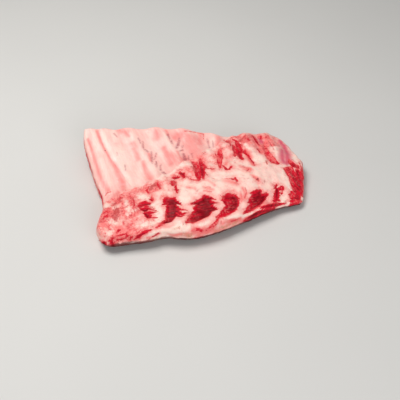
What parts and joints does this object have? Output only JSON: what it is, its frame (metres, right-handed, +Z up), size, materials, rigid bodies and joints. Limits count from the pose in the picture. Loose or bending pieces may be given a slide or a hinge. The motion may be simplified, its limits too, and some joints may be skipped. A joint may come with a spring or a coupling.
{
  "type": "raw pork belly ribs",
  "caption": "Raw slab of pork belly ribs lying bone side up, with a thin membrane-covered rib flap and a thick fatty cartilage side.",
  "frame": {"origin": "centre of the footprint, on the surface the slab lies on", "axes": "+X along the slab's long side, +Y towards the sawn rib ends, +Z up out of the bone side"},
  "size_m": [0.2294, 0.1528, 0.0315],
  "materials": {
    "raw_meat": "moist raw fat, membrane and lean meat"
  },
  "bodies": {
    "root": {"rib_slab": "raw_meat"}
  },
  "joints": []
}
